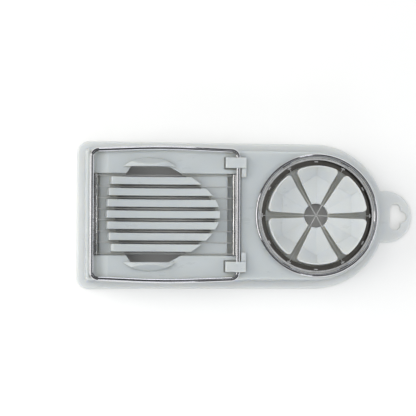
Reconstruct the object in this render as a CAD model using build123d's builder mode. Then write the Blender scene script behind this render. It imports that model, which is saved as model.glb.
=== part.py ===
from build123d import *
from math import sqrt
import os

# Egg slicer with a round egg wedger, millimetres, +Z up.
# Origin: centre of the overall box in X and Y, on the surface that the base stands on.
# +X runs from the slicing frame's free end to the hanging tab.
# The object is the same on both sides of Y = 0.

# ---------------------------------------------------------------- driving dimensions
LENGTH = 200.0
WIDTH = 88.0

# Base shell
CORNER_R = 7.0            # flange corners at the slicer end
END_R = 43.0              # round end of the flange, concentric with the egg cup
CUP_X = 41.3              # centre of the egg cup and of the round end
FLANGE_T = 2.6
FLANGE_W = 4.8            # flange outside the foot of the wall
FLANGE_ROUND = 0.9
WALL = 2.0
WALL_LEAN = 0.7           # the wall leans in by this much up to the deck
DECK_Z = 22.0             # top of the deck
DECK_ROUND = 0.9
FOOT_ROUND = 0.8          # hollow corner between the flange and the wall

# Hanging tab
TAB_R = 15.4
TAB_ROOT_X = (78.0, 84.0) # the tab meets the round end between these
TAB_ROOT_R = 1.2
TAB_HOLE_X = 90.4
TAB_HOLE_LENGTH = 15.9
TAB_HOLE_WIDTH = 6.5
TAB_LOBE_X = 94.0
TAB_LOBE_R = 3.4

# Chromed rods: slicing frame loop and wedger ring
ROD_R = 1.4
ROD_GAP = 0.3             # rods lie this far above the deck
ROD_Z = DECK_Z + ROD_GAP + ROD_R
FREE_ROD_X = -91.5        # frame side that the thumb lifts
HINGE_X = -5.2            # frame side that is the hinge pin
FREE_CORNER_Y = 37.7
HINGE_CORNER_Y = 37.6
BOW_Y = 39.5              # the long sides bow outwards to this
FRAME_CORNER_R = 4.2
FRAME_BOW_R = 420.0

# Wires of the slicer and the slats between them
WIRE_COUNT = 8
WIRE_PITCH = 6.6
WIRE_R = 0.25
WIRE_HOLE_R = 0.27
WIRE_DROP = 4.3           # wires below the axis of the rods
SLAT_COUNT = WIRE_COUNT - 1
SLAT_W = 4.3
SLAT_FOOT_Z = 12.0
SLAT_CAP_Z = 28.5
SLAT_BEVEL = 1.2

# Wire bars: angle strips seated on the rods
BAR_LENGTH = 47.4
BAR_T = 0.7
BAR_REACH = 3.6           # from the rod's axis to the web's far face
BAR_DEPTH = 5.2           # web below the rod's axis
BAR_BEND_R = 1.7          # outside of the bend between top leg and web
BAR_PEG_HOLE_R = 0.4      # small hole in the top leg beside each wire
BEAD_R = 0.65
BEAD_LENGTH = 1.0

# Recesses in the deck
FIELD_Z = DECK_Z - 3.4    # floor under the slicing wires
FIELD_FOOT_Z = DECK_Z - 5.4
FIELD_FOOT_X = -87.0      # the floor rises from here
FIELD_HEAD_X = -80.5      # to its full height here
FIELD_Y = 24.3
FREE_CHANNEL_X = (-92.6, -88.8, -82.0)  # outer wall, foot and head of the inner ramp
FREE_CHANNEL_Z = 19.6
FREE_CHANNEL_Y = 37.2
SLOT_Z = 13.6             # floor of the deep slots that take the wire bars
FREE_SLOT = (-92.6, -87.0)
HINGE_SLOT = (-11.2, -3.4)
FLOOR_T = 2.0

# Egg dish of the slicer
DISH_X = -48.7
DISH_Z = 20.6             # lowest point of the slats' tops
DISH_LONG_R = 95.0
DISH_CROSS_R = 60.0
DISH_LEFT_X = -77.9
DISH_LEFT_R = 46.5
DISH_HALF_Y = 28.3
NOSE_X = -18.2            # pointed end of the opening
NOSE_BACK_X = -46.4       # where the pointed end's curve starts
SLAT_END_X = -83.6        # blunt ends of the slats lie on a flatter arc
SLAT_END_R = 78.0
SLAT_OVERHANG_NOSE = 2.2

# Raised lips beside the dish
LIP_X = (-73.1, -41.9)
LIP_APEX_Y = 33.4
LIP_TOP_Z = 28.0
LIP_BEVEL = 3.9
LIP_BEVEL_DROP = 5.6
LIP_TIP_H = 0.8           # lips stand this far above the deck at their tips

# Egg cup
CUP_R = 29.1
CUP_RIM_Z = 31.0
CUP_FLOOR_Z = 15.6
CUP_HOLE_R = 7.15
CUP_HOLE_EDGE_Z = 19.9
CUP_BREAK_R = 20.5        # inner, flatter facets end here
CUP_BREAK_Z = 22.6
CUP_MOUTH_R = 28.4
CUP_HEX_TOP_R = 28.9      # steep facets reach this apothem at the rim
PETALS = 6
PETAL_ROUND = 2.2
SLOT_HOLE_W = 2.2         # slot width at the centre hole
SLOT_RIM_W = 4.4          # slot width at the rim
GROOVE_R = 34.9           # outer wall of the groove round the cup
GROOVE_WALL = 2.0
CORE_SKIN = 2.4           # petals are cored from below to about this thickness

# Wedger ring
RING_R = 35.1
CARRIER_R = 33.3          # outside of the skirt
CARRIER_T = 0.6
CARRIER_LIP_R = 30.0      # the lip nearly reaches the cup
CARRIER_FOOT_Z = DECK_Z - 5.0
WEDGE_WIRES = 3
WEDGE_WIRE_Z = CARRIER_FOOT_Z + 1.0
WEDGE_WIRE_STEP = 0.52    # the wires cross one above the other
LUGS = 12
LUG_R = 31.9
LUG_W = 2.2
LUG_H = 2.6

# Hinge clips
CLIP_X = (-12.7, -0.5)
CLIP_Y = (27.6, 33.8)
CLIP_TOP_Z = 26.4
CLIP_ARM_X = -3.3         # inner face of the arm beside the rod
CLIP_ARM_Y = 22.2
CLIP_ARM_TOP_Z = 24.6
CLIP_ROUND = 0.5
POCKET_DEPTH = 1.4
POCKET_GAP = 0.8
SEAT_Z = 18.0             # underside of the thickened deck below a clip
BEARING_R = ROD_R + 0.06
LEG_X = (-10.8, -2.0)
LEG_SIZE = (2.2, 4.2)
LEG_GAP = 0.12
LEG_FOOT_Z = 15.8
BARB = 0.5

# Stiffening ribs under the deck
RIB_T = 1.6
RIB_DEPTH = 6.0
RIB_Y = (-18.0, 0.0, 18.0)
RIB_LENGTH = 12.0
RIB_X = 0.4


def span(low, high):
    """Length and centre of an interval."""
    return high - low, (low + high) / 2


def outline(height, inset):
    """Base outline at a height, drawn in by an inset: two corners and the round end, hulled."""
    corner_r = max(CORNER_R - inset, 1.0)
    corner_x = -LENGTH / 2 + inset + corner_r
    corner_y = WIDTH / 2 - inset - corner_r
    with BuildSketch(Plane.XY.offset(height)) as sketch:
        with Locations((corner_x, corner_y), (corner_x, -corner_y)):
            Circle(corner_r)
        with Locations((CUP_X, 0)):
            Circle(END_R - inset)
        make_hull()
    return sketch.sketch


def box_between(x, y, z, mode=Mode.ADD):
    """Box given by its intervals along X, Y and Z, combined with the open BuildPart."""
    size_x, mid_x = span(*x)
    size_y, mid_y = span(*y)
    size_z, mid_z = span(*z)
    with Locations((mid_x, mid_y, mid_z)):
        Box(size_x, size_y, size_z, mode=mode)


def dish_plan(height, left_x, left_r, nose_out):
    """Egg-shaped plan of the dish: arc at the blunt end, parabola at the pointed end."""
    back_x = left_x + left_r - sqrt(left_r**2 - DISH_HALF_Y**2)
    nose_x = NOSE_X + nose_out
    nose_back = NOSE_BACK_X + nose_out
    control_x = 2 * nose_x - nose_back
    with BuildSketch(Plane.XY.offset(height)) as sketch:
        with BuildLine():
            ThreePointArc((back_x, DISH_HALF_Y), (left_x, 0), (back_x, -DISH_HALF_Y))
            Line((back_x, -DISH_HALF_Y), (nose_back, -DISH_HALF_Y))
            Bezier((nose_back, -DISH_HALF_Y), (control_x, 0), (nose_back, DISH_HALF_Y))
            Line((nose_back, DISH_HALF_Y), (back_x, DISH_HALF_Y))
        make_face()
    return sketch.sketch


def slat_top(x, y):
    """Height of the egg dish above a point of the plan."""
    return DISH_Z + (x - DISH_X) ** 2 / (2 * DISH_LONG_R) + y**2 / (2 * DISH_CROSS_R)


def hexagon(height, apothem):
    """Hexagon round the cup's axis with its sides square to the wire slots."""
    with BuildSketch(Plane.XY.offset(height)) as sketch:
        with Locations((CUP_X, 0)):
            RegularPolygon(apothem, PETALS, major_radius=False, rotation=30)
    return sketch.sketch


def petal_plan(height, side_gap, inner_r, outer_r, corner_r):
    """Six sectors between the wire slots, each drawn in from its slots by side_gap."""
    slope = (SLOT_RIM_W - SLOT_HOLE_W) / 2 / (CUP_R - CUP_HOLE_R)
    far = outer_r + WALL
    with BuildSketch(Plane.XY.offset(height)) as sketch:
        with Locations((CUP_X, 0)):
            Circle(outer_r)
            Circle(inner_r, mode=Mode.SUBTRACT)
            with PolarLocations(0, PETALS):
                near_half = SLOT_HOLE_W / 2 - CUP_HOLE_R * slope + side_gap
                far_half = near_half + far * slope
                Polygon(
                    (0, near_half), (0, -near_half), (far, -far_half), (far, far_half),
                    align=None, mode=Mode.SUBTRACT,
                )
        axis_point = Vector(CUP_X, 0, 0)
        outer_corners = sketch.vertices().filter_by(
            lambda vertex: (vertex.center() - axis_point).length > outer_r - 0.1
        )
        fillet(outer_corners, radius=corner_r)
    return sketch.sketch


def mirrored(intervals_y, side):
    """Y interval on the rear (side +1) or front (side -1) half."""
    low, high = intervals_y
    return (low, high) if side > 0 else (-high, -low)


WIRE_YS = [(index - (WIRE_COUNT - 1) / 2) * WIRE_PITCH for index in range(WIRE_COUNT)]
SLAT_YS = [(index - (SLAT_COUNT - 1) / 2) * WIRE_PITCH for index in range(SLAT_COUNT)]
TAB_X = LENGTH / 2 - TAB_R
SIDES = (1, -1)

os.makedirs("parts", exist_ok=True)

# ---------------------------------------------------------------- slats of the cradle
# Each slat is a bar along X whose top follows the dish. The comb is trimmed to the egg-shaped plan.
with BuildPart() as slat_comb:
    for slat_y in SLAT_YS:
        tip_x = NOSE_X + SLAT_OVERHANG_NOSE
        blunt_x = SLAT_END_X + slat_y**2 / (2 * SLAT_END_R)
        crest_x = blunt_x + SLAT_BEVEL
        middle_x = (crest_x + tip_x) / 2
        with BuildSketch(Plane.XZ.offset(-slat_y)):
            with BuildLine():
                Polyline(
                    (crest_x, slat_top(crest_x, slat_y)),
                    (blunt_x, FIELD_Z),
                    (blunt_x, SLAT_FOOT_Z),
                    (tip_x, SLAT_FOOT_Z),
                    (tip_x, slat_top(tip_x, slat_y)),
                )
                ThreePointArc(
                    (tip_x, slat_top(tip_x, slat_y)),
                    (middle_x, slat_top(middle_x, slat_y)),
                    (crest_x, slat_top(crest_x, slat_y)),
                )
            make_face()
        extrude(amount=SLAT_W / 2, both=True)
    extrude(
        dish_plan(0, SLAT_END_X, SLAT_END_R, SLAT_OVERHANG_NOSE),
        amount=SLAT_CAP_Z,
        mode=Mode.INTERSECT,
    )

# ---------------------------------------------------------------- cavity of the egg cup
# Two rings of six flat facets: shallow ones round the centre hole, steep ones up to the rim.
with BuildPart() as cup_cavity:
    loft([hexagon(CUP_HOLE_EDGE_Z, CUP_HOLE_R), hexagon(CUP_BREAK_Z, CUP_BREAK_R)], ruled=True)
    loft([hexagon(CUP_BREAK_Z, CUP_BREAK_R), hexagon(CUP_RIM_Z, CUP_HEX_TOP_R)], ruled=True)
    extrude(hexagon(CUP_RIM_Z, CUP_HEX_TOP_R), amount=WALL)
    with Locations((CUP_X, 0, CUP_RIM_Z)):
        Cylinder(CUP_MOUTH_R, 2 * CUP_RIM_Z, mode=Mode.INTERSECT)

# ---------------------------------------------------------------- cores under the petals
with BuildPart() as petal_cores:
    extrude(
        petal_plan(0, WALL, CUP_HOLE_R + WALL, CUP_R - WALL, PETAL_ROUND / 2),
        amount=CUP_RIM_Z - CORE_SKIN,
    )
    with Locations((0, 0, -CORE_SKIN)):
        add(cup_cavity.part, mode=Mode.SUBTRACT)

# ---------------------------------------------------------------- raised lips beside the dish
# Crescents in plan. Their tops slope down outwards and towards both tips.
with BuildPart() as dish_lips:
    lip_length, lip_middle = span(*LIP_X)
    with BuildSketch(Plane.XY.offset(DECK_Z - WALL / 2)):
        for side in SIDES:
            with BuildLine():
                ThreePointArc(
                    (LIP_X[0], side * DISH_HALF_Y),
                    (lip_middle, side * LIP_APEX_Y),
                    (LIP_X[1], side * DISH_HALF_Y),
                )
                Line((LIP_X[1], side * DISH_HALF_Y), (LIP_X[0], side * DISH_HALF_Y))
            make_face()
    extrude(amount=LIP_TOP_Z - DECK_Z + WALL)
    with BuildSketch(Plane.YZ.offset(LIP_X[0])):
        Polygon(
            (-LIP_APEX_Y, 0),
            (LIP_APEX_Y, 0),
            (LIP_APEX_Y, LIP_TOP_Z - LIP_BEVEL_DROP),
            (LIP_APEX_Y - LIP_BEVEL, LIP_TOP_Z),
            (LIP_BEVEL - LIP_APEX_Y, LIP_TOP_Z),
            (-LIP_APEX_Y, LIP_TOP_Z - LIP_BEVEL_DROP),
            align=None,
        )
    extrude(amount=lip_length, mode=Mode.INTERSECT)
    with BuildSketch(Plane.XZ):
        with BuildLine():
            ThreePointArc(
                (LIP_X[0], DECK_Z + LIP_TIP_H),
                (lip_middle, LIP_TOP_Z),
                (LIP_X[1], DECK_Z + LIP_TIP_H),
            )
            Polyline(
                (LIP_X[1], DECK_Z + LIP_TIP_H),
                (LIP_X[1], 0),
                (LIP_X[0], 0),
                (LIP_X[0], DECK_Z + LIP_TIP_H),
            )
        make_face()
    extrude(amount=WIDTH, both=True, mode=Mode.INTERSECT)

# ---------------------------------------------------------------- rim flange with the hanging tab
with BuildPart() as rim_flange:
    with BuildSketch() as flange_plan:
        add(outline(0, 0))
        with Locations((TAB_X, 0)):
            Circle(TAB_R)
        tab_roots = flange_plan.vertices().filter_by_position(Axis.X, TAB_ROOT_X[0], TAB_ROOT_X[1])
        fillet(tab_roots, radius=TAB_ROOT_R)
    extrude(amount=FLANGE_T)
    fillet(rim_flange.faces().sort_by(Axis.Z)[-1].outer_wire().edges(), radius=FLANGE_ROUND)

# ---------------------------------------------------------------- base moulding
with BuildPart() as base_moulding:
    # wall and deck on the flange
    loft([outline(FLANGE_T / 2, FLANGE_W), outline(DECK_Z, FLANGE_W + WALL_LEAN)], ruled=True)
    fillet(base_moulding.faces().sort_by(Axis.Z)[-1].outer_wire().edges(), radius=DECK_ROUND)
    add(rim_flange.part)
    wall_foot = base_moulding.edges().filter_by(
        lambda edge: abs(edge.bounding_box().min.Z - FLANGE_T) < 0.001
        and abs(edge.bounding_box().max.Z - FLANGE_T) < 0.001
        and edge.bounding_box().max.X < CUP_X + END_R - FLANGE_W + FLANGE_ROUND
        and edge.bounding_box().min.X > -LENGTH / 2 + FLANGE_W - FLANGE_ROUND
        and edge.bounding_box().max.Y < WIDTH / 2 - FLANGE_W + FLANGE_ROUND
        and edge.bounding_box().min.Y > FLANGE_W - FLANGE_ROUND - WIDTH / 2
    )
    fillet(wall_foot, radius=FOOT_ROUND)

    # hollow under the deck
    extrude(outline(0, FLANGE_W + WALL), amount=DECK_Z - WALL, mode=Mode.SUBTRACT)

    # material round the recesses, below the deck
    wall_inside_x = -LENGTH / 2 + FLANGE_W + WALL / 2
    box_between(
        (wall_inside_x, HINGE_SLOT[1] + WALL),
        (-FIELD_Y - WALL, FIELD_Y + WALL),
        (FIELD_FOOT_Z - FLOOR_T, DECK_Z - WALL / 2),
    )
    box_between(
        (wall_inside_x, FREE_CHANNEL_X[2] + WALL),
        (-FREE_CHANNEL_Y, FREE_CHANNEL_Y),
        (FREE_CHANNEL_Z - FLOOR_T, DECK_Z - WALL / 2),
    )
    for slot_x in (FREE_SLOT, HINGE_SLOT):
        box_between(
            (slot_x[0] - WALL, slot_x[1] + WALL),
            (-FIELD_Y - WALL, FIELD_Y + WALL),
            (SLOT_Z - FLOOR_T, DECK_Z - WALL / 2),
        )
    for side in SIDES:
        box_between(
            (CLIP_X[0] - WALL, CLIP_X[1] + WALL),
            mirrored((FIELD_Y + WALL / 2, CLIP_Y[1] + WALL), side),
            (SEAT_Z, DECK_Z - WALL / 2),
        )
    cup_block_z, cup_block_mid = span(CUP_FLOOR_Z - FLOOR_T, DECK_Z - WALL / 2)
    with Locations((CUP_X, 0, cup_block_mid)):
        Cylinder(GROOVE_R + GROOVE_WALL, cup_block_z)

    # recessed floor under the wires, rising from the free end
    # with a deep slot at each end for the wire bars
    recess_top = DECK_Z + WALL
    with BuildSketch(Plane.XZ):
        Polygon(
            (FREE_SLOT[1] - WALL, recess_top),
            (FREE_SLOT[1] - WALL, FIELD_FOOT_Z),
            (FIELD_FOOT_X, FIELD_FOOT_Z),
            (FIELD_HEAD_X, FIELD_Z),
            (HINGE_SLOT[0] + WALL, FIELD_Z),
            (HINGE_SLOT[0] + WALL, recess_top),
            align=None,
        )
    extrude(amount=FIELD_Y, both=True, mode=Mode.SUBTRACT)
    for slot_x in (FREE_SLOT, HINGE_SLOT):
        box_between(slot_x, (-FIELD_Y, FIELD_Y), (SLOT_Z, recess_top), mode=Mode.SUBTRACT)

    # finger channel along the free end, with a ramp up to the deck
    with BuildSketch(Plane.XZ):
        Polygon(
            (FREE_CHANNEL_X[0], recess_top),
            (FREE_CHANNEL_X[0], FREE_CHANNEL_Z),
            (FREE_CHANNEL_X[1], FREE_CHANNEL_Z),
            (FREE_CHANNEL_X[2], DECK_Z),
            (FREE_CHANNEL_X[2], recess_top),
            align=None,
        )
    extrude(amount=FREE_CHANNEL_Y, both=True, mode=Mode.SUBTRACT)

    # egg dish: opening, slats and raised lips
    extrude(
        dish_plan(-WALL, DISH_LEFT_X, DISH_LEFT_R, 0),
        amount=DECK_Z + 2 * WALL,
        mode=Mode.SUBTRACT,
    )
    add(slat_comb.part)
    add(dish_lips.part)

    # egg cup: groove, petals, faceted cavity, cores and centre hole
    with Locations((CUP_X, 0, CUP_FLOOR_Z)):
        Cylinder(GROOVE_R, DECK_Z, align=(Align.CENTER, Align.CENTER, Align.MIN), mode=Mode.SUBTRACT)
    extrude(
        petal_plan(CUP_FLOOR_Z - FLOOR_T / 2, 0, CUP_HOLE_R, CUP_R, PETAL_ROUND),
        amount=CUP_RIM_Z - CUP_FLOOR_Z + FLOOR_T / 2,
    )
    add(cup_cavity.part, mode=Mode.SUBTRACT)
    add(petal_cores.part, mode=Mode.SUBTRACT)
    with Locations((CUP_X, 0, CUP_FLOOR_Z)):
        Cylinder(CUP_HOLE_R, 2 * CUP_FLOOR_Z, mode=Mode.SUBTRACT)

    # pockets and leg holes for the hinge clips
    for side in SIDES:
        box_between(
            (CLIP_X[0] - POCKET_GAP, CLIP_X[1] + LEG_GAP),
            mirrored((CLIP_Y[0] - POCKET_GAP, CLIP_Y[1] + LEG_GAP), side),
            (DECK_Z - POCKET_DEPTH, DECK_Z + WALL),
            mode=Mode.SUBTRACT,
        )
        leg_y = side * (CLIP_Y[0] + CLIP_Y[1]) / 2
        with Locations(*[(leg_x, leg_y, SEAT_Z) for leg_x in LEG_X]):
            Box(
                LEG_SIZE[0] + 2 * LEG_GAP,
                LEG_SIZE[1] + 2 * LEG_GAP,
                DECK_Z,
                mode=Mode.SUBTRACT,
            )

    # ribs under the deck between the two halves
    for rib_y in RIB_Y:
        with Locations((RIB_X, rib_y, DECK_Z - WALL)):
            Box(RIB_LENGTH, RIB_T, RIB_DEPTH, align=(Align.CENTER, Align.CENTER, Align.MAX))

    # hole of the hanging tab
    with BuildSketch():
        with Locations((TAB_HOLE_X, 0)):
            SlotOverall(TAB_HOLE_LENGTH, TAB_HOLE_WIDTH, rotation=90)
        with Locations((TAB_LOBE_X, 0)):
            Circle(TAB_LOBE_R)
    extrude(amount=FLANGE_T + WALL, both=True, mode=Mode.SUBTRACT)

base_moulding.part.label = "base_moulding"
export_step(base_moulding.part, "parts/base_moulding.step")

# ---------------------------------------------------------------- hinge clips
# The block bridges the hinge rod with a bearing groove open below. The arm stands beside the rod.
for clip_name, side in (("hinge_clip_rear", 1), ("hinge_clip_front", -1)):
    with BuildPart() as hinge_clip:
        leg_y = side * (CLIP_Y[0] + CLIP_Y[1]) / 2
        box_between(CLIP_X, mirrored(CLIP_Y, side), (DECK_Z - POCKET_DEPTH, CLIP_TOP_Z))
        fillet(hinge_clip.faces().sort_by(Axis.Z)[-1].edges(), radius=CLIP_ROUND)
        box_between(
            (CLIP_ARM_X, CLIP_X[1]),
            mirrored((CLIP_ARM_Y, CLIP_Y[0]), side),
            (DECK_Z, CLIP_ARM_TOP_Z),
        )
        for leg_x in LEG_X:
            outwards = 1 if leg_x > HINGE_X else -1
            with Locations((leg_x, leg_y, LEG_FOOT_Z)):
                Box(
                    LEG_SIZE[0],
                    LEG_SIZE[1],
                    DECK_Z - POCKET_DEPTH - LEG_FOOT_Z,
                    align=(Align.CENTER, Align.CENTER, Align.MIN),
                )
            with BuildSketch(Plane.XZ.offset(-leg_y)):
                face_x = leg_x + outwards * LEG_SIZE[0] / 2
                barb_x = face_x + outwards * (BARB + LEG_GAP)
                Polygon(
                    (face_x, LEG_FOOT_Z),
                    (face_x, SEAT_Z - LEG_GAP),
                    (barb_x, SEAT_Z - LEG_GAP),
                    align=None,
                )
            extrude(amount=LEG_SIZE[1] / 2, both=True)
        clip_length, clip_mid_y = span(*mirrored(CLIP_Y, side))
        with Locations((HINGE_X, clip_mid_y, ROD_Z)):
            Cylinder(BEARING_R, 2 * clip_length, rotation=(90, 0, 0), mode=Mode.SUBTRACT)
            Box(
                2 * BEARING_R,
                2 * clip_length,
                ROD_Z,
                align=(Align.CENTER, Align.CENTER, Align.MAX),
                mode=Mode.SUBTRACT,
            )
    hinge_clip.part.label = clip_name
    export_step(hinge_clip.part, f"parts/{clip_name}.step")

# ---------------------------------------------------------------- slicing frame
with BuildPart() as frame_rod:
    bow_x = (FREE_ROD_X + HINGE_X) / 2
    with BuildLine() as frame_path:
        FilletPolyline(
            (HINGE_X, HINGE_CORNER_Y, ROD_Z),
            (bow_x, BOW_Y, ROD_Z),
            (FREE_ROD_X, FREE_CORNER_Y, ROD_Z),
            (FREE_ROD_X, -FREE_CORNER_Y, ROD_Z),
            (bow_x, -BOW_Y, ROD_Z),
            (HINGE_X, -HINGE_CORNER_Y, ROD_Z),
            radius=[FRAME_CORNER_R, FRAME_BOW_R, FRAME_CORNER_R] * 2,
            close=True,
        )
    with BuildSketch(frame_path.line ^ 0):
        Circle(ROD_R)
    sweep()
frame_rod.part.label = "frame_rod"
export_step(frame_rod.part, "parts/frame_rod.step")

# Angle strips: the top leg is seated on the rod, the web hangs down and holds the wires.
for bar_name, rod_x, inward in (
    ("free_end_wire_bar", FREE_ROD_X, 1),
    ("hinge_end_wire_bar", HINGE_X, -1),
):
    with BuildPart() as wire_bar:
        with BuildSketch(Plane.XZ) as bar_section:
            Polygon(
                (rod_x + inward * ROD_R / 2, ROD_Z - BAR_T / 2),
                (rod_x + inward * (BAR_REACH - BAR_T), ROD_Z - BAR_T / 2),
                (rod_x + inward * (BAR_REACH - BAR_T), ROD_Z - BAR_DEPTH),
                (rod_x + inward * BAR_REACH, ROD_Z - BAR_DEPTH),
                (rod_x + inward * BAR_REACH, ROD_Z + BAR_T / 2),
                (rod_x + inward * ROD_R / 2, ROD_Z + BAR_T / 2),
                align=None,
            )
            inner_corner = Vector(rod_x + inward * (BAR_REACH - BAR_T), ROD_Z - BAR_T / 2)
            outer_corner = Vector(rod_x + inward * BAR_REACH, ROD_Z + BAR_T / 2)
            fillet(bar_section.vertices().sort_by_distance(inner_corner)[0], radius=BAR_BEND_R - BAR_T)
            fillet(bar_section.vertices().sort_by_distance(outer_corner)[0], radius=BAR_BEND_R)
        extrude(amount=BAR_LENGTH / 2, both=True)
        with Locations((rod_x, 0, ROD_Z)):
            Cylinder(ROD_R, 2 * BAR_LENGTH, rotation=(90, 0, 0), mode=Mode.SUBTRACT)
        web_face_x = rod_x + inward * (BAR_REACH - BAR_T)
        peg_x = rod_x + inward * (ROD_R + BAR_REACH - BAR_T) / 2
        with Locations(*[(peg_x, wire_y, ROD_Z) for wire_y in WIRE_YS]):
            Cylinder(BAR_PEG_HOLE_R, 4 * BAR_T, mode=Mode.SUBTRACT)
        with Locations(*[(web_face_x, wire_y, ROD_Z - WIRE_DROP) for wire_y in WIRE_YS]):
            Cylinder(WIRE_HOLE_R, 4 * BAR_T, rotation=(0, 90, 0), mode=Mode.SUBTRACT)
    wire_bar.part.label = bar_name
    export_step(wire_bar.part, f"parts/{bar_name}.step")

# Slicing wires: each runs through both webs and ends in a swaged bead behind each of them.
web_back_x = (FREE_ROD_X + BAR_REACH - BAR_T, HINGE_X - BAR_REACH + BAR_T)
slicing_length, slicing_mid_x = span(*web_back_x)
slicing_bead_x = (slicing_length + BEAD_LENGTH) / 2
for number, wire_y in enumerate(WIRE_YS, start=1):
    with BuildPart() as slicing_wire:
        with Locations((slicing_mid_x, wire_y, ROD_Z - WIRE_DROP)):
            Cylinder(WIRE_R, 2 * slicing_bead_x, rotation=(0, 90, 0))
            with Locations((-slicing_bead_x, 0, 0), (slicing_bead_x, 0, 0)):
                Cylinder(BEAD_R, BEAD_LENGTH, rotation=(0, 90, 0))
    slicing_wire.part.label = f"slicing_wire_{number}"
    export_step(slicing_wire.part, f"parts/slicing_wire_{number}.step")

# ---------------------------------------------------------------- wedger
with BuildPart() as wedger_rod_ring:
    with Locations((CUP_X, 0, ROD_Z)):
        Torus(RING_R, ROD_R)
wedger_rod_ring.part.label = "wedger_rod_ring"
export_step(wedger_rod_ring.part, "parts/wedger_rod_ring.step")

# Stamped ring: a top leg seated on the rod ring, a skirt, a lip turned inwards and hook lugs on the lip.
with BuildPart() as wedger_wire_carrier:
    with BuildSketch(Plane.XZ):
        with Locations((CUP_X, 0)):
            Polygon(
                (CARRIER_LIP_R, CARRIER_FOOT_Z),
                (CARRIER_R, CARRIER_FOOT_Z),
                (CARRIER_R, ROD_Z - CARRIER_T / 2),
                (RING_R - ROD_R / 2, ROD_Z - CARRIER_T / 2),
                (RING_R - ROD_R / 2, ROD_Z + CARRIER_T / 2),
                (CARRIER_R - CARRIER_T, ROD_Z + CARRIER_T / 2),
                (CARRIER_R - CARRIER_T, CARRIER_FOOT_Z + CARRIER_T),
                (CARRIER_LIP_R, CARRIER_FOOT_Z + CARRIER_T),
                align=None,
            )
    revolve(axis=Axis((CUP_X, 0, 0), (0, 0, 1)))
    with Locations((CUP_X, 0, ROD_Z)):
        Torus(RING_R, ROD_R, mode=Mode.SUBTRACT)
    with Locations((CUP_X, 0, CARRIER_FOOT_Z)):
        with PolarLocations(LUG_R, LUGS):
            Box(CARRIER_T, LUG_W, LUG_H, align=(Align.CENTER, Align.CENTER, Align.MIN))
    for index in range(WEDGE_WIRES):
        wire_z = WEDGE_WIRE_Z + index * WEDGE_WIRE_STEP
        with Locations(Location((CUP_X, 0, wire_z), (0, 0, index * 180 / WEDGE_WIRES))):
            Cylinder(WIRE_HOLE_R, 2 * RING_R, rotation=(0, 90, 0), mode=Mode.SUBTRACT)
wedger_wire_carrier.part.label = "wedger_wire_carrier"
export_step(wedger_wire_carrier.part, "parts/wedger_wire_carrier.step")

for index in range(WEDGE_WIRES):
    wire_z = WEDGE_WIRE_Z + index * WEDGE_WIRE_STEP
    bead_centre = CARRIER_R + BEAD_LENGTH / 2
    with BuildPart() as wedge_wire:
        with Locations(Location((CUP_X, 0, wire_z), (0, 0, index * 180 / WEDGE_WIRES))):
            Cylinder(WIRE_R, 2 * bead_centre, rotation=(0, 90, 0))
            with Locations((-bead_centre, 0, 0), (bead_centre, 0, 0)):
                Cylinder(BEAD_R, BEAD_LENGTH, rotation=(0, 90, 0))
    wedge_wire.part.label = f"wedge_wire_{index + 1}"
    export_step(wedge_wire.part, f"parts/wedge_wire_{index + 1}.step")
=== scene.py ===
import math

import bpy
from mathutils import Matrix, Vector


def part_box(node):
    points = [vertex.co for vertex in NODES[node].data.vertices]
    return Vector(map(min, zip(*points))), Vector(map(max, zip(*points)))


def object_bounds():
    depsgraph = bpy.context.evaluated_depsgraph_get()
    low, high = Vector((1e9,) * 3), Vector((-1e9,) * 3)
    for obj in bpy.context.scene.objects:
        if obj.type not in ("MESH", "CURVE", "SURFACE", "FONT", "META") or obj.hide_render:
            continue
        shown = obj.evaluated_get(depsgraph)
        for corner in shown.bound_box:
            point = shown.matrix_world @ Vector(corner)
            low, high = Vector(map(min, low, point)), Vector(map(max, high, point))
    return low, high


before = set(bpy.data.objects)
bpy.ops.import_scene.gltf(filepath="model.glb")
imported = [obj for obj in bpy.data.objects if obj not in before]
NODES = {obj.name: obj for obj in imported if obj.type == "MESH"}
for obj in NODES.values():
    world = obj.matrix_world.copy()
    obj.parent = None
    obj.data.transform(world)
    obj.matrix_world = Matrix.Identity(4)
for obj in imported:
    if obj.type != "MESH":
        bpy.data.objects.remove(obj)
cad_low, cad_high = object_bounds()

MM = 0.001

# Heights between which the moulding goes from its low flange to its deck, and the flange's painted light
# fades out.
FLANGE_TOP = 3.0 * MM
DECK_TOP = 22.0 * MM

# A paler zone round the cup's axis is painted light on the cup's petals.
ring_low, ring_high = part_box("wedger_rod_ring")
CUP_CENTRE = (ring_low + ring_high) / 2
CUP_RADIUS = 30.0 * MM

# The wedger's wires are held by a lip turned in from the foot of its stamped ring.
carrier_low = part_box("wedger_wire_carrier")[0]
LIP_TOP = carrier_low.z + 0.6 * MM
# Below these heights the carrier's lip is painted near black: painted shade for the deep groove between
# cup and ring.
LIP_SHADE_TO = LIP_TOP + 0.1 * MM
LIP_SHADE_GONE_FROM = LIP_TOP + 0.9 * MM

# ---------------------------------------------------------------- camera
# A long lens well above the object, leaning a little towards its free end and its front.
CAMERA_DISTANCE = 1.6
CAMERA_LENS = 233.2
CAMERA_SENSOR = 36.0
LEAN_TO_FREE_END = math.radians(2.97)
LEAN_TO_FRONT = math.radians(1.76)
CAMERA_ROLL = math.radians(0.30)
AIM_OFFSET = Vector((-22.4, 4.3, 12.0)) * MM

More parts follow.
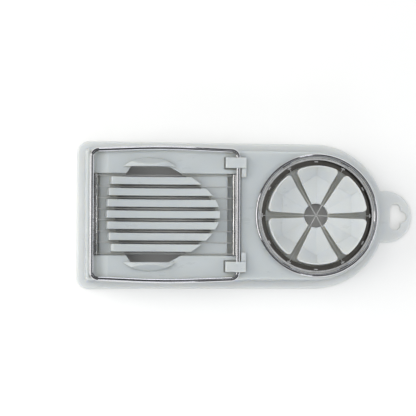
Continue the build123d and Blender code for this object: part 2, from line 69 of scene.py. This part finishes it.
# ---------------------------------------------------------------- plastic
WHITE = (1.0, 1.0, 1.0)
NOISE_LOW, NOISE_HIGH = 0.3, 0.7          # noise mostly lies between these
MAIN_COLOUR_FROM = 0.95                         # share of the way up at which the flange's painted light has gone
MOTTLE_SCALE = 28
MOTTLE_SHADE = (0.955, 0.96, 0.965)
# Crevices are darkened and warmed by ambient occlusion: painted shade.
CREVICE_SHADE_REACH = 6.0 * MM
CREVICE_PAINTED_SHADE = (0.90, 0.86, 0.77)
CREVICE_SHADE_FULL, CREVICE_SHADE_GONE = 0.05, 0.70       # openness of a crevice
EDGE_RADIUS = 0.5 * MM
RUBBED_WHITE = (0.80, 0.81, 0.80)
RUBBED_SHARE = 0.30
RUBBED_ROUGHNESS = 0.10
SMEAR_SCALE = 60
SMEAR_STRETCH = (1.0, 2.2, 1.0)
RUB_SCALE = 900
RUB_STRETCH = (0.08, 1.0, 0.6)
RUB_ROUGHNESS = 0.05
RUB_LOW, RUB_HIGH = 0.55, 0.75
GRAIN_SCALE = 2600
GRAIN_STRENGTH = 0.10
GRAIN_HEIGHT = 0.04 * MM
WAVE_SCALE = 45
WAVE_STRENGTH = 0.15
WAVE_HEIGHT = 0.4 * MM
ABS_IOR = 1.53
MILKINESS = 0.8
MILKY_DEPTH = (0.0050, 0.0045, 0.0036)

# ---------------------------------------------------------------- metal
TONE_SCALE = 60
TONE_LOW, TONE_HIGH = 0.32, 0.68
HAZE_SCALE = 140
MARK_HEIGHT = 0.01 * MM
SMOOTH_BELOW = math.radians(28)

# ---------------------------------------------------------------- floor
FLOOR_HALF_SIZE = 6.0
FLOOR_GAP = 0.2 * MM
FLOOR_SHADE = (0.90, 0.90, 0.895)
FLOOR_LIGHT = (0.93, 0.93, 0.925)
FLOOR_CLOUD_SCALE = 3
FLOOR_ROUGHNESS = 0.85

# ---------------------------------------------------------------- studio
# Lamps for the plastic are hidden from the metal. It mirrors a dark room with a few bright panels instead.
ROOM_COLOUR = (0.95, 0.97, 1.0)
ROOM_LIGHT = 0.50
ROOM_IN_MIRRORS = 0.09
WARM_WHITE = (1.0, 0.985, 0.955)
COOL_WHITE = (0.95, 0.975, 1.0)


def make_camera():
    middle = (cad_low + cad_high) / 2
    aim = Vector((middle.x, middle.y, cad_low.z)) + AIM_OFFSET
    back = Vector((-math.tan(LEAN_TO_FREE_END), -math.tan(LEAN_TO_FRONT), 1.0)).normalized()
    data = bpy.data.cameras.new("camera")
    data.lens = CAMERA_LENS
    data.sensor_width = CAMERA_SENSOR
    camera = bpy.data.objects.new("camera", data)
    bpy.context.scene.collection.objects.link(camera)
    right = Vector((0, 1, 0)).cross(back).normalized()
    up = back.cross(right)
    turned_right = right * math.cos(CAMERA_ROLL) + up * math.sin(CAMERA_ROLL)
    turned_up = up * math.cos(CAMERA_ROLL) - right * math.sin(CAMERA_ROLL)
    place = aim + back * CAMERA_DISTANCE
    matrix = camera.matrix_world.copy()
    for row in range(3):
        matrix[row][0] = turned_right[row]
        matrix[row][1] = turned_up[row]
        matrix[row][2] = back[row]
        matrix[row][3] = place[row]
    camera.matrix_world = matrix
    bpy.context.scene.camera = camera


# ---------------------------------------------------------------- node tree helpers
def new_material(name):
    material = bpy.data.materials.new(name)
    material.use_nodes = True
    tree = material.node_tree
    tree.nodes.clear()
    output = tree.nodes.new("ShaderNodeOutputMaterial")
    shader = tree.nodes.new("ShaderNodeBsdfPrincipled")
    tree.links.new(shader.outputs["BSDF"], output.inputs["Surface"])
    return material, tree, shader


def object_coordinates(tree):
    return tree.nodes.new("ShaderNodeTexCoord").outputs["Object"]


def noise(tree, coordinates, scale, detail=3.0, roughness=0.5, stretch=None):
    source = coordinates
    if stretch:
        mapping = tree.nodes.new("ShaderNodeMapping")
        mapping.inputs["Scale"].default_value = stretch
        tree.links.new(coordinates, mapping.inputs["Vector"])
        source = mapping.outputs["Vector"]
    texture = tree.nodes.new("ShaderNodeTexNoise")
    texture.inputs["Scale"].default_value = scale
    texture.inputs["Detail"].default_value = detail
    texture.inputs["Roughness"].default_value = roughness
    tree.links.new(source, texture.inputs["Vector"])
    return texture.outputs["Fac"]


def ramp(tree, value, stops):
    node = tree.nodes.new("ShaderNodeValToRGB")
    tree.links.new(value, node.inputs["Fac"])
    elements = node.color_ramp.elements
    while len(elements) < len(stops):
        elements.new(0.5)
    for element, (position, colour) in zip(elements, stops):
        element.position = position
        element.color = (*colour, 1.0)
    return node.outputs["Color"]


def remap(tree, value, low, high, from_low=NOISE_LOW, from_high=NOISE_HIGH):
    node = tree.nodes.new("ShaderNodeMapRange")
    node.inputs["From Min"].default_value = from_low
    node.inputs["From Max"].default_value = from_high
    node.inputs["To Min"].default_value = low
    node.inputs["To Max"].default_value = high
    tree.links.new(value, node.inputs["Value"])
    return node.outputs["Result"]


def maths(tree, operation, first, second):
    node = tree.nodes.new("ShaderNodeMath")
    node.operation = operation
    for socket, value in zip(node.inputs, (first, second)):
        if isinstance(value, (int, float)):
            socket.default_value = value
        else:
            tree.links.new(value, socket)
    return node.outputs["Value"]


def bump(tree, height, strength, distance, under=None):
    node = tree.nodes.new("ShaderNodeBump")
    node.inputs["Strength"].default_value = strength
    node.inputs["Distance"].default_value = distance
    tree.links.new(height, node.inputs["Height"])
    if under:
        tree.links.new(under, node.inputs["Normal"])
    return node.outputs["Normal"]


def mix_colours(tree, blend_type, factor, first, second):
    """Each of the last three is a socket or a plain value."""
    node = tree.nodes.new("ShaderNodeMix")
    node.data_type = "RGBA"
    node.blend_type = blend_type
    # The node has sockets for every data type, and these are the ones for colours.
    factor_socket, first_socket, second_socket = node.inputs[0], node.inputs[6], node.inputs[7]
    if isinstance(factor, bpy.types.NodeSocket):
        tree.links.new(factor, factor_socket)
    else:
        factor_socket.default_value = factor
    for socket, value in ((first_socket, first), (second_socket, second)):
        if isinstance(value, bpy.types.NodeSocket):
            tree.links.new(value, socket)
        else:
            socket.default_value = (*value, 1.0)
    return node.outputs[2]


def rounded_normal(tree, radius):
    """Normal of the surface with its edges rounded off by a small radius."""
    node = tree.nodes.new("ShaderNodeBevel")
    node.samples = 6
    node.inputs["Radius"].default_value = radius
    return node.outputs["Normal"]


def edge_mask(tree, rounded):
    """0 on flat stretches, rising to 1 on the edges that hands and drawers rub."""
    flat = tree.nodes.new("ShaderNodeNewGeometry").outputs["Normal"]
    dot = tree.nodes.new("ShaderNodeVectorMath")
    dot.operation = "DOT_PRODUCT"
    tree.links.new(flat, dot.inputs[0])
    tree.links.new(rounded, dot.inputs[1])
    return remap(tree, dot.outputs["Value"], 1.0, 0.0, 0.80, 0.985)


def crevices(tree, reach):
    """1 in the open, falling to 0 deep between walls closer than the reach."""
    node = tree.nodes.new("ShaderNodeAmbientOcclusion")
    node.samples = 8
    node.inputs["Distance"].default_value = reach
    return node.outputs["AO"]


def inside(tree, place, centre, radius):
    """1 inside an upright round zone, 0 outside it, with a soft border."""
    flat = tree.nodes.new("ShaderNodeMapping")
    flat.inputs["Location"].default_value = (-centre.x / radius, -centre.y / radius, 0.0)
    flat.inputs["Scale"].default_value = (1 / radius, 1 / radius, 0.0)
    tree.links.new(place, flat.inputs["Vector"])
    length = tree.nodes.new("ShaderNodeVectorMath")
    length.operation = "LENGTH"
    tree.links.new(flat.outputs["Vector"], length.inputs[0])
    return remap(tree, length.outputs["Value"], 1.0, 0.0, 0.97, 1.03)


# ---------------------------------------------------------------- materials
def moulded_abs(name, main_colour, flange_painted_light, petal_painted_light, gloss):
    """Milky injection-moulded ABS: painted light makes it paler on its low flange and in its cup, and
    painted shade makes it browner in its crevices.
    """
    material, tree, shader = new_material(name)
    place = object_coordinates(tree)
    split = tree.nodes.new("ShaderNodeSeparateXYZ")
    tree.links.new(place, split.inputs[0])
    # Paler towards the flange and inside the cup: painted light over the moulding's own colour.
    height = remap(tree, split.outputs["Z"], 0.0, 1.0, FLANGE_TOP, DECK_TOP)
    painted_flange_light = ramp(tree, height, [(0.0, flange_painted_light), (MAIN_COLOUR_FROM, main_colour)])
    painted_light_body = mix_colours(tree, "MIX", inside(tree, place, CUP_CENTRE, CUP_RADIUS), painted_flange_light, petal_painted_light)

    mottle_noise = noise(tree, place, MOTTLE_SCALE, 4.0, 0.55)
    mottle = ramp(tree, mottle_noise, [(NOISE_LOW, MOTTLE_SHADE), (NOISE_HIGH, WHITE)])
    clouded = mix_colours(tree, "MULTIPLY", 1.0, painted_light_body, mottle)
    # Darker, browner crevices from ambient occlusion: painted shade.
    open_air = crevices(tree, CREVICE_SHADE_REACH)
    crevice_shade = ramp(tree, open_air, [(CREVICE_SHADE_FULL, CREVICE_PAINTED_SHADE), (CREVICE_SHADE_GONE, WHITE)])
    crevice_shaded = mix_colours(tree, "MULTIPLY", 1.0, clouded, crevice_shade)

    rounded = rounded_normal(tree, EDGE_RADIUS)
    rubbed = edge_mask(tree, rounded)
    whitening = maths(tree, "MULTIPLY", rubbed, RUBBED_SHARE)
    whitened = mix_colours(tree, "MIX", whitening, crevice_shaded, RUBBED_WHITE)
    tree.links.new(whitened, shader.inputs["Base Color"])

    smears = noise(tree, place, SMEAR_SCALE, 5.0, 0.6, stretch=SMEAR_STRETCH)
    rub = noise(tree, place, RUB_SCALE, 2.0, 0.5, stretch=RUB_STRETCH)
    rub_roughness = remap(tree, rub, 0.0, RUB_ROUGHNESS, RUB_LOW, RUB_HIGH)
    edge_roughness = maths(tree, "MULTIPLY", rubbed, RUBBED_ROUGHNESS)
    worn = maths(tree, "ADD", rub_roughness, edge_roughness)
    roughness = maths(tree, "ADD", remap(tree, smears, *gloss), worn)
    tree.links.new(roughness, shader.inputs["Roughness"])

    grain = noise(tree, place, GRAIN_SCALE, 2.0, 0.5)
    fine = bump(tree, grain, GRAIN_STRENGTH, GRAIN_HEIGHT, rounded)
    waviness = noise(tree, place, WAVE_SCALE, 2.0, 0.5)
    wavy = bump(tree, waviness, WAVE_STRENGTH, WAVE_HEIGHT, fine)
    tree.links.new(wavy, shader.inputs["Normal"])

    shader.inputs["IOR"].default_value = ABS_IOR
    shader.inputs["Subsurface Weight"].default_value = MILKINESS
    shader.inputs["Subsurface Radius"].default_value = MILKY_DEPTH
    shader.inputs["Subsurface Scale"].default_value = 1.0
    return material


def bright_metal(name, light, shade, gloss, marks, stretch, metallic=1.0, lip_painted_shade=None):
    """Plated or drawn steel: fine marks along the work and a soft change of tone.

    The marks are given as their scale and their strength. A lip with painted shade takes that colour below
    the skirt: the shade of the deep groove it lies in.
    """
    material, tree, shader = new_material(name)
    place = object_coordinates(tree)
    tone = ramp(tree, noise(tree, place, TONE_SCALE, 3.0, 0.6), [(TONE_LOW, shade), (TONE_HIGH, light)])
    # The lip's near-black colour is painted shade.
    if lip_painted_shade:
        split = tree.nodes.new("ShaderNodeSeparateXYZ")
        tree.links.new(place, split.inputs[0])
        lip_unshaded = remap(tree, split.outputs["Z"], 0.0, 1.0, LIP_SHADE_TO, LIP_SHADE_GONE_FROM)
        tone = mix_colours(tree, "MIX", lip_unshaded, lip_painted_shade, tone)
    tree.links.new(tone, shader.inputs["Base Color"])
    haze = noise(tree, place, HAZE_SCALE, 4.0, 0.6)
    tree.links.new(remap(tree, haze, *gloss), shader.inputs["Roughness"])
    mark_scale, mark_strength = marks
    scratches = noise(tree, place, mark_scale, 3.0, 0.6, stretch=stretch)
    tree.links.new(bump(tree, scratches, mark_strength, MARK_HEIGHT), shader.inputs["Normal"])
    shader.inputs["Metallic"].default_value = metallic
    return material


def dress(names, material):
    for name in names:
        slots = NODES[name].data.materials
        slots.clear()
        slots.append(material)


def smooth(names, angle):
    for name in names:
        mesh = NODES[name].data
        for polygon in mesh.polygons:
            polygon.use_smooth = True
        mesh.set_sharp_from_angle(angle=angle)


# ---------------------------------------------------------------- stage and light
def make_floor():
    edge = FLOOR_HALF_SIZE
    mesh = bpy.data.meshes.new("floor")
    corners = [(-edge, -edge), (edge, -edge), (edge, edge), (-edge, edge)]
    mesh.from_pydata([(x, y, cad_low.z - FLOOR_GAP) for x, y in corners], [], [(0, 1, 2, 3)])
    floor = bpy.data.objects.new("floor", mesh)
    bpy.context.scene.collection.objects.link(floor)
    material, tree, shader = new_material("pale_floor")
    cloud = noise(tree, object_coordinates(tree), FLOOR_CLOUD_SCALE, 2.0, 0.5)
    colour = ramp(tree, cloud, [(NOISE_LOW, FLOOR_SHADE), (NOISE_HIGH, FLOOR_LIGHT)])
    tree.links.new(colour, shader.inputs["Base Color"])
    shader.inputs["Roughness"].default_value = FLOOR_ROUGHNESS
    mesh.materials.append(material)


def panel(name, place, size, radiance, colour, for_metal):
    """Light panel that faces the origin. It lights only the plastic, or is seen only by the metal."""
    data = bpy.data.lights.new(name, "AREA")
    data.shape = "RECTANGLE"
    data.size, data.size_y = size
    data.energy = radiance * math.pi * size[0] * size[1]
    data.color = colour
    lamp = bpy.data.objects.new(name, data)
    bpy.context.scene.collection.objects.link(lamp)
    lamp.location = place
    lamp.rotation_mode = "QUATERNION"
    lamp.rotation_quaternion = (-Vector(place)).to_track_quat("-Z", "Y")
    lamp.visible_glossy = for_metal
    lamp.visible_diffuse = not for_metal


def make_world():
    """Even light for the plastic, with a much darker room for the metal to mirror."""
    world = bpy.data.worlds.new("studio")
    bpy.context.scene.world = world
    world.use_nodes = True
    tree = world.node_tree
    background = tree.nodes["Background"]
    mirrored = tree.nodes.new("ShaderNodeBackground")
    for node, strength in ((background, ROOM_LIGHT), (mirrored, ROOM_IN_MIRRORS)):
        node.inputs["Color"].default_value = (*ROOM_COLOUR, 1.0)
        node.inputs["Strength"].default_value = strength
    kind = tree.nodes.new("ShaderNodeLightPath")
    either = tree.nodes.new("ShaderNodeMixShader")
    tree.links.new(kind.outputs["Is Glossy Ray"], either.inputs[0])
    tree.links.new(background.outputs[0], either.inputs[1])
    tree.links.new(mirrored.outputs[0], either.inputs[2])
    tree.links.new(either.outputs[0], tree.nodes["World Output"].inputs["Surface"])


# Each panel: name, place, width and height, radiance, colour, whether it is for the metal.
PANELS = [
    ("overhead", (-0.3, 0.18, 1.55), (1.7, 1.7), 1.45, WARM_WHITE, False),
    ("left_window", (-1.2, 0.2, 0.75), (1.3, 0.6), 3.2, WARM_WHITE, False),
    ("right_window", (1.25, -0.1, 0.8), (1.0, 0.5), 1.9, COOL_WHITE, False),
    ("front_window", (0.0, -1.3, 0.7), (1.0, 0.5), 1.6, COOL_WHITE, False),
    ("ceiling_mirrored", (0.20, 0.06, 1.9), (0.30, 0.30), 0.75, COOL_WHITE, True),
    ("left_mirrored", (-1.1, 0.0, 0.8), (1.0, 0.45), 2.6, WARM_WHITE, True),
    ("right_mirrored", (1.2, -0.1, 0.5), (0.9, 0.30), 1.9, COOL_WHITE, True),
    ("rear_mirrored", (-0.05, 1.2, 0.7), (0.26, 0.42), 2.4, COOL_WHITE, True),
    ("front_mirrored", (-0.05, -1.2, 0.6), (0.26, 0.40), 1.8, COOL_WHITE, True),
]


make_camera()
make_world()
for settings in PANELS:
    panel(*settings)
make_floor()

# ---------------------------------------------------------------- what each node is made of
WIRES = [name for name in NODES if "_wire_" in name and not name.endswith(("bar", "carrier"))]
BARS = ["free_end_wire_bar", "hinge_end_wire_bar"]
RODS = ["frame_rod", "wedger_rod_ring"]
CLIPS = ["hinge_clip_rear", "hinge_clip_front"]
CLIP_WHITE = (0.56, 0.59, 0.60)

# The flange and petal tones are painted light, paler than the moulding's own colour.
dress(["base_moulding"], moulded_abs(
    "white_abs", main_colour=(0.53, 0.565, 0.575), flange_painted_light=(0.69, 0.71, 0.71), petal_painted_light=(0.64, 0.665, 0.665),
    gloss=(0.26, 0.36)))
dress(CLIPS, moulded_abs(
    "clip_abs", main_colour=CLIP_WHITE, flange_painted_light=CLIP_WHITE, petal_painted_light=CLIP_WHITE, gloss=(0.24, 0.34)))
dress(RODS, bright_metal(
    "chromed_rod", light=(0.86, 0.86, 0.88), shade=(0.80, 0.80, 0.83), gloss=(0.03, 0.08),
    marks=(900, 0.01), stretch=(0.3, 1, 1)))
# The steel's tone changes at random, and its strong bright and dark patches are painted reflection.
dress(BARS, bright_metal(
    "pressed_steel", light=(0.84, 0.83, 0.82), shade=(0.40, 0.395, 0.39), gloss=(0.10, 0.16),
    marks=(900, 0.02), stretch=(1, 0.15, 1)))
# Its near-black lip is painted shade for the groove round the cup.
dress(["wedger_wire_carrier"], bright_metal(
    "stamped_steel", light=(0.72, 0.71, 0.70), shade=(0.62, 0.61, 0.60), gloss=(0.12, 0.20),
    marks=(700, 0.02), stretch=(1, 1, 0.3), lip_painted_shade=(0.105, 0.098, 0.088)))
dress(WIRES, bright_metal(
    "cutting_wire", light=(0.70, 0.70, 0.70), shade=(0.62, 0.62, 0.62), gloss=(0.30, 0.42),
    marks=(3000, 0.05), stretch=(0.05, 1, 1), metallic=0.5))
smooth(list(NODES), SMOOTH_BELOW)

view = bpy.context.scene.view_settings
view.view_transform = "Standard"
view.look = "None"
view.exposure = 0.0
